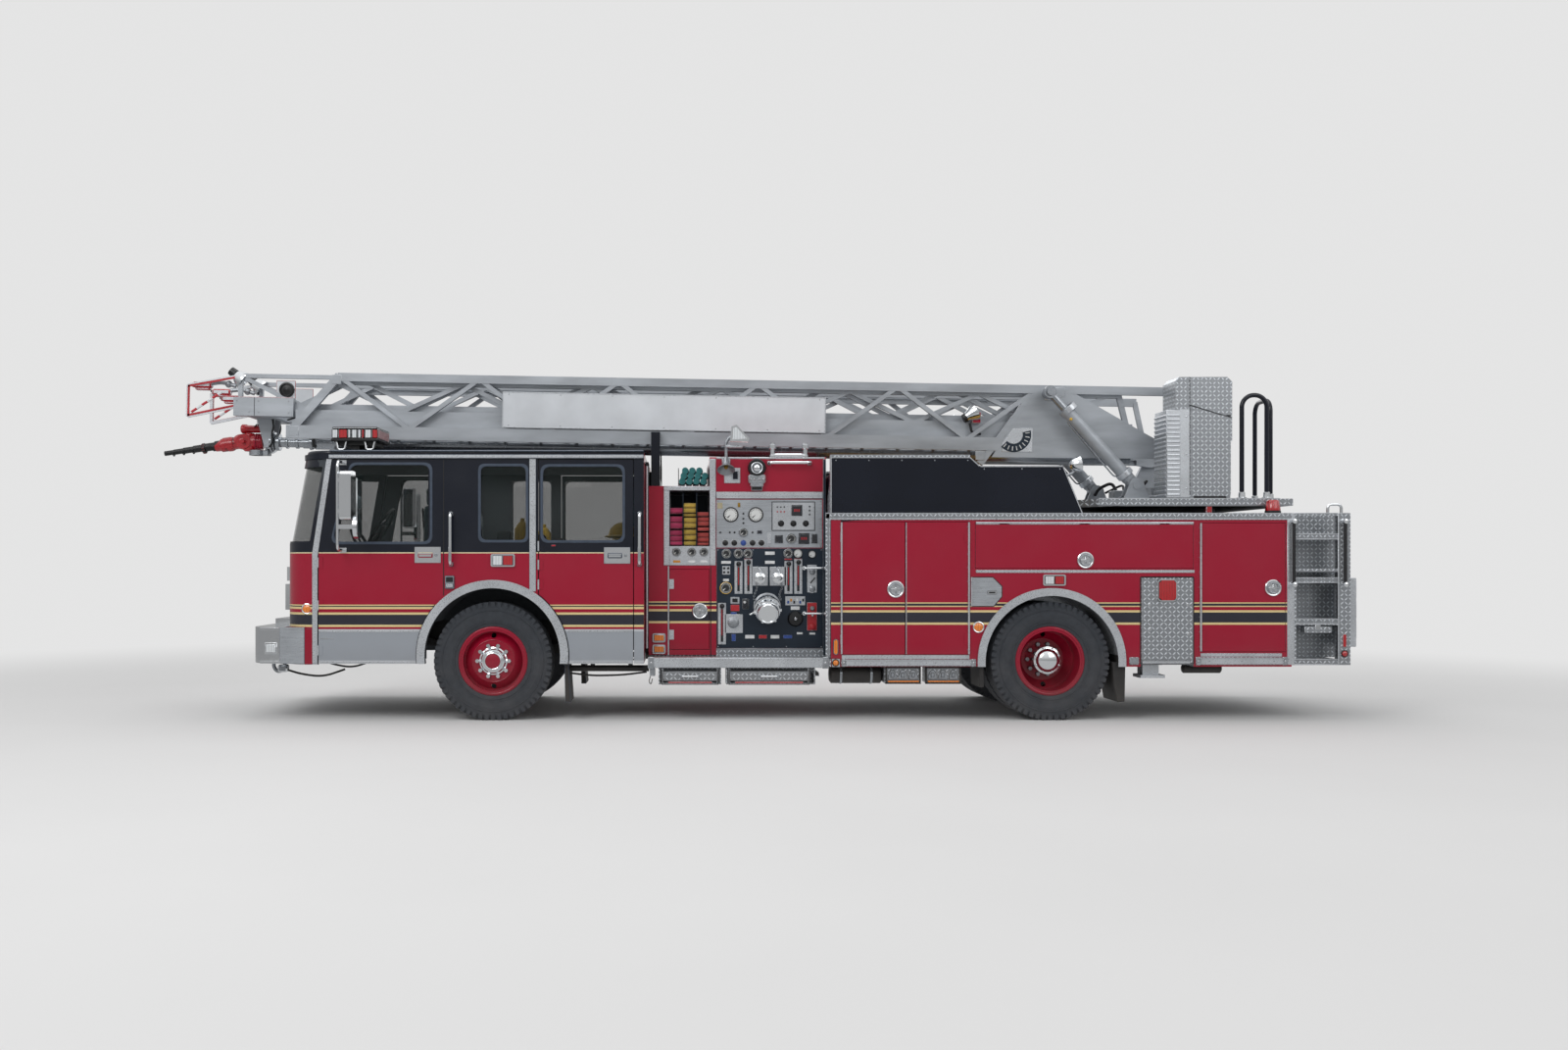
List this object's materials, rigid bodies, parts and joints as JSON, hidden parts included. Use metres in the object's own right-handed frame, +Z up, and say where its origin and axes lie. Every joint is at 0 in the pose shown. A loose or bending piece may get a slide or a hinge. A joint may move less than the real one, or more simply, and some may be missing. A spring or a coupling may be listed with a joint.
{
  "type": "fire engine",
  "caption": "Fire engine with a crew cab, pump house, side lockers and a rear turntable carrying a telescoping aerial ladder with a water monitor.",
  "frame": {"origin": "on the ground at the middle of the vehicle's box", "axes": "-X towards the cab's front, +Y to the vehicle's right, +Z up"},
  "size_m": [11.3456, 3.086, 3.2763],
  "materials": {
    "chassis_frame": "semi-gloss paint",
    "axles": "semi-gloss paint",
    "engine": "rough cast",
    "cab_front": "gloss paint over a stainless skirt",
    "cab_glass": "tinted",
    "cab_walls": "gloss paint",
    "cab_roof": "gloss paint",
    "cab_floor": "satin",
    "front_bumper": "polished",
    "dashboard": "textured",
    "seats": "woven",
    "pump_house": "gloss paint and brushed panels",
    "hose_loads": "woven hose",
    "running_boards": "treadplate",
    "body": "gloss paint",
    "water_tank": "satin",
    "torque_box": "satin",
    "tail": "treadplate",
    "cradle": "gloss paint",
    "lamps": "clear lenses",
    "front_door_left": "gloss paint",
    "mirror_left": "polished",
    "crew_door_left": "gloss paint",
    "front_leaf_door_left": "gloss paint",
    "rear_leaf_door_left": "gloss paint",
    "high_door_left": "gloss paint",
    "rear_door_left": "gloss paint",
    "pump_door_left": "brushed",
    "knuckle_left": "rough cast",
    "front_rim_left": "gloss paint",
    "front_tyre_left": "matt",
    "rear_rims_left": "gloss paint",
    "rear_tyres_left": "matt",
    "stabiliser_left": "gloss paint",
    "jack_left": "bare steel",
    "front_door_right": "gloss paint",
    "mirror_right": "polished",
    "crew_door_right": "gloss paint",
    "front_leaf_door_right": "gloss paint",
    "rear_leaf_door_right": "gloss paint",
    "high_door_right": "gloss paint",
    "rear_door_right": "gloss paint",
    "pump_door_right": "brushed",
    "knuckle_right": "rough cast",
    "front_rim_right": "gloss paint",
    "front_tyre_right": "matt",
    "rear_rims_right": "gloss paint",
    "rear_tyres_right": "matt",
    "stabiliser_right": "gloss paint",
    "jack_right": "bare steel",
    "turntable": "treadplate",
    "pedestal": "treadplate",
    "ladder_base": "silver paint",
    "ladder_mid": "silver paint",
    "ladder_fly": "silver paint",
    "monitor_body": "gloss paint",
    "monitor_nozzle": "matt",
    "lift_barrels": "silver paint",
    "lift_rods": "polished"
  },
  "bodies": {
    "chassis": {"chassis_frame": "chassis_frame", "axles": "axles", "engine": "engine", "cab_front": "cab_front", "cab_glass": "cab_glass", "cab_walls": "cab_walls", "cab_roof": "cab_roof", "cab_floor": "cab_floor", "front_bumper": "front_bumper", "dashboard": "dashboard", "seats": "seats", "pump_house": "pump_house", "hose_loads": "hose_loads", "running_boards": "running_boards", "body": "body", "water_tank": "water_tank", "torque_box": "torque_box", "tail": "tail", "cradle": "cradle", "lamps": "lamps"},
    "front_door_left": {"front_door_left": "front_door_left", "mirror_left": "mirror_left"},
    "crew_door_left": {"crew_door_left": "crew_door_left"},
    "front_leaf_door_left": {"front_leaf_door_left": "front_leaf_door_left"},
    "rear_leaf_door_left": {"rear_leaf_door_left": "rear_leaf_door_left"},
    "high_door_left": {"high_door_left": "high_door_left"},
    "rear_door_left": {"rear_door_left": "rear_door_left"},
    "pump_door_left": {"pump_door_left": "pump_door_left"},
    "steer_left": {"knuckle_left": "knuckle_left"},
    "front_wheel_left": {"front_rim_left": "front_rim_left", "front_tyre_left": "front_tyre_left"},
    "rear_wheel_left": {"rear_rims_left": "rear_rims_left", "rear_tyres_left": "rear_tyres_left"},
    "stabiliser_left": {"stabiliser_left": "stabiliser_left"},
    "jack_left": {"jack_left": "jack_left"},
    "front_door_right": {"front_door_right": "front_door_right", "mirror_right": "mirror_right"},
    "crew_door_right": {"crew_door_right": "crew_door_right"},
    "front_leaf_door_right": {"front_leaf_door_right": "front_leaf_door_right"},
    "rear_leaf_door_right": {"rear_leaf_door_right": "rear_leaf_door_right"},
    "high_door_right": {"high_door_right": "high_door_right"},
    "rear_door_right": {"rear_door_right": "rear_door_right"},
    "pump_door_right": {"pump_door_right": "pump_door_right"},
    "steer_right": {"knuckle_right": "knuckle_right"},
    "front_wheel_right": {"front_rim_right": "front_rim_right", "front_tyre_right": "front_tyre_right"},
    "rear_wheel_right": {"rear_rims_right": "rear_rims_right", "rear_tyres_right": "rear_tyres_right"},
    "stabiliser_right": {"stabiliser_right": "stabiliser_right"},
    "jack_right": {"jack_right": "jack_right"},
    "turntable": {"turntable": "turntable", "pedestal": "pedestal"},
    "ladder_base": {"ladder_base": "ladder_base"},
    "ladder_mid": {"ladder_mid": "ladder_mid"},
    "ladder_fly": {"ladder_fly": "ladder_fly"},
    "monitor_body": {"monitor_body": "monitor_body"},
    "monitor_nozzle": {"monitor_nozzle": "monitor_nozzle"},
    "lift_barrels": {"lift_barrels": "lift_barrels"},
    "lift_rods": {"lift_rods": "lift_rods"}
  },
  "joints": [
    {"name": "steer_left_pivot", "type": "hinge", "parent": "chassis", "child": "steer_left", "pos_m": [-2.2402, -0.9, 0.54], "axis": [0, 0, 1], "range_deg": [-35, 35]},
    {"name": "front_wheel_left_spin", "type": "hinge", "parent": "steer_left", "child": "front_wheel_left", "pos_m": [-2.2402, -1.05, 0.54], "axis": [0, 1, 0], "continuous": true},
    {"name": "rear_wheel_left_spin", "type": "hinge", "parent": "chassis", "child": "rear_wheel_left", "pos_m": [2.8488, -1.05, 0.54], "axis": [0, 1, 0], "continuous": true},
    {"name": "front_door_left_hinge", "type": "hinge", "parent": "chassis", "child": "front_door_left", "pos_m": [-3.8292, -1.2285, 1.2], "axis": [0, 0, 1], "range_deg": [-75, 0]},
    {"name": "crew_door_left_hinge", "type": "hinge", "parent": "chassis", "child": "crew_door_left", "pos_m": [-1.8212, -1.2285, 1.4], "axis": [0, 0, 1], "range_deg": [-75, 0]},
    {"name": "front_leaf_door_left_hinge", "type": "hinge", "parent": "chassis", "child": "front_leaf_door_left", "pos_m": [0.9368, -1.2285, 1.2], "axis": [0, 0, 1], "range_deg": [-100, 0]},
    {"name": "rear_leaf_door_left_hinge", "type": "hinge", "parent": "chassis", "child": "rear_leaf_door_left", "pos_m": [2.1008, -1.2285, 1.2], "axis": [0, 0, 1], "range_deg": [0, 100]},
    {"name": "high_door_left_hinge", "type": "hinge", "parent": "chassis", "child": "high_door_left", "pos_m": [3.1518, -1.2285, 1.802], "axis": [1, 0, 0], "range_deg": [-95, 0]},
    {"name": "rear_door_left_hinge", "type": "hinge", "parent": "chassis", "child": "rear_door_left", "pos_m": [4.2128, -1.2285, 1.2], "axis": [0, 0, 1], "range_deg": [-95, 0]},
    {"name": "pump_door_left_hinge", "type": "hinge", "parent": "chassis", "child": "pump_door_left", "pos_m": [-0.6322, -0.9085, 1], "axis": [0, 0, 1], "range_deg": [-100, 0]},
    {"name": "stabiliser_left_out", "type": "slide", "parent": "chassis", "child": "stabiliser_left", "axis": [0, -1, 0], "range_m": [0, 0.9]},
    {"name": "jack_left_down", "type": "slide", "parent": "stabiliser_left", "child": "jack_left", "axis": [0, 0, -1], "range_m": [0, 0.38]},
    {"name": "steer_right_pivot", "type": "hinge", "parent": "chassis", "child": "steer_right", "pos_m": [-2.2402, 0.9, 0.54], "axis": [0, 0, 1], "range_deg": [-35, 35]},
    {"name": "front_wheel_right_spin", "type": "hinge", "parent": "steer_right", "child": "front_wheel_right", "pos_m": [-2.2402, 1.05, 0.54], "axis": [0, 1, 0], "continuous": true},
    {"name": "rear_wheel_right_spin", "type": "hinge", "parent": "chassis", "child": "rear_wheel_right", "pos_m": [2.8488, 1.05, 0.54], "axis": [0, 1, 0], "continuous": true},
    {"name": "front_door_right_hinge", "type": "hinge", "parent": "chassis", "child": "front_door_right", "pos_m": [-3.8292, 1.2285, 1.2], "axis": [0, 0, 1], "range_deg": [0, 75]},
    {"name": "crew_door_right_hinge", "type": "hinge", "parent": "chassis", "child": "crew_door_right", "pos_m": [-1.8212, 1.2285, 1.4], "axis": [0, 0, 1], "range_deg": [0, 75]},
    {"name": "front_leaf_door_right_hinge", "type": "hinge", "parent": "chassis", "child": "front_leaf_door_right", "pos_m": [0.9368, 1.2285, 1.2], "axis": [0, 0, 1], "range_deg": [0, 100]},
    {"name": "rear_leaf_door_right_hinge", "type": "hinge", "parent": "chassis", "child": "rear_leaf_door_right", "pos_m": [2.1008, 1.2285, 1.2], "axis": [0, 0, 1], "range_deg": [-100, 0]},
    {"name": "high_door_right_hinge", "type": "hinge", "parent": "chassis", "child": "high_door_right", "pos_m": [3.1518, 1.2285, 1.802], "axis": [1, 0, 0], "range_deg": [0, 95]},
    {"name": "rear_door_right_hinge", "type": "hinge", "parent": "chassis", "child": "rear_door_right", "pos_m": [4.2128, 1.2285, 1.2], "axis": [0, 0, 1], "range_deg": [0, 95]},
    {"name": "pump_door_right_hinge", "type": "hinge", "parent": "chassis", "child": "pump_door_right", "pos_m": [-0.6322, 0.9085, 1], "axis": [0, 0, 1], "range_deg": [0, 100]},
    {"name": "stabiliser_right_out", "type": "slide", "parent": "chassis", "child": "stabiliser_right", "axis": [0, 1, 0], "range_m": [0, 0.9]},
    {"name": "jack_right_down", "type": "slide", "parent": "stabiliser_right", "child": "jack_right", "axis": [0, 0, -1], "range_m": [0, 0.38]},
    {"name": "turntable_slew", "type": "hinge", "parent": "chassis", "child": "turntable", "pos_m": [4.1558, 0, 1.99], "axis": [0, 0, 1], "continuous": true},
    {"name": "ladder_raise", "type": "hinge", "parent": "turntable", "child": "ladder_base", "pos_m": [4.3528, 0, 2.495], "axis": [0, 1, 0], "range_deg": [0, 74]},
    {"name": "lift_barrel_swing", "type": "hinge", "parent": "turntable", "child": "lift_barrels", "pos_m": [3.7898, 0, 2.17], "axis": [0, 1, 0], "range_deg": [0, 64.5]},
    {"name": "lift_rod_out", "type": "slide", "parent": "lift_barrels", "child": "lift_rods", "axis": [-0.6729, 0, 0.7397], "range_m": [0, 0.741]},
    {"name": "mid_section_out", "type": "slide", "parent": "ladder_base", "child": "ladder_mid", "axis": [-0.9998, 0, 0.0178], "range_m": [0, 6]},
    {"name": "top_section_out", "type": "slide", "parent": "ladder_mid", "child": "ladder_fly", "axis": [-0.9998, 0, 0.0178], "range_m": [0, 6]},
    {"name": "monitor_pan", "type": "hinge", "parent": "ladder_fly", "child": "monitor_body", "pos_m": [-4.74603, 0, 2.642], "axis": [0.0178, 0, 0.9998], "range_deg": [-45, 45]},
    {"name": "monitor_tilt", "type": "hinge", "parent": "monitor_body", "child": "monitor_nozzle", "pos_m": [-4.86601, 0, 2.64413], "axis": [0, 1, 0], "range_deg": [-60, 10]}
  ],
  "couplings": [
    {"joint": "steer_right_pivot", "follows": "steer_left_pivot", "ratio": 1},
    {"joint": "lift_barrel_swing", "follows": "ladder_raise", "ratio": 0.86893},
    {"joint": "lift_rod_out", "follows": "ladder_raise", "m_per_rad": 0.57186},
    {"joint": "top_section_out", "follows": "mid_section_out", "ratio": 1}
  ]
}
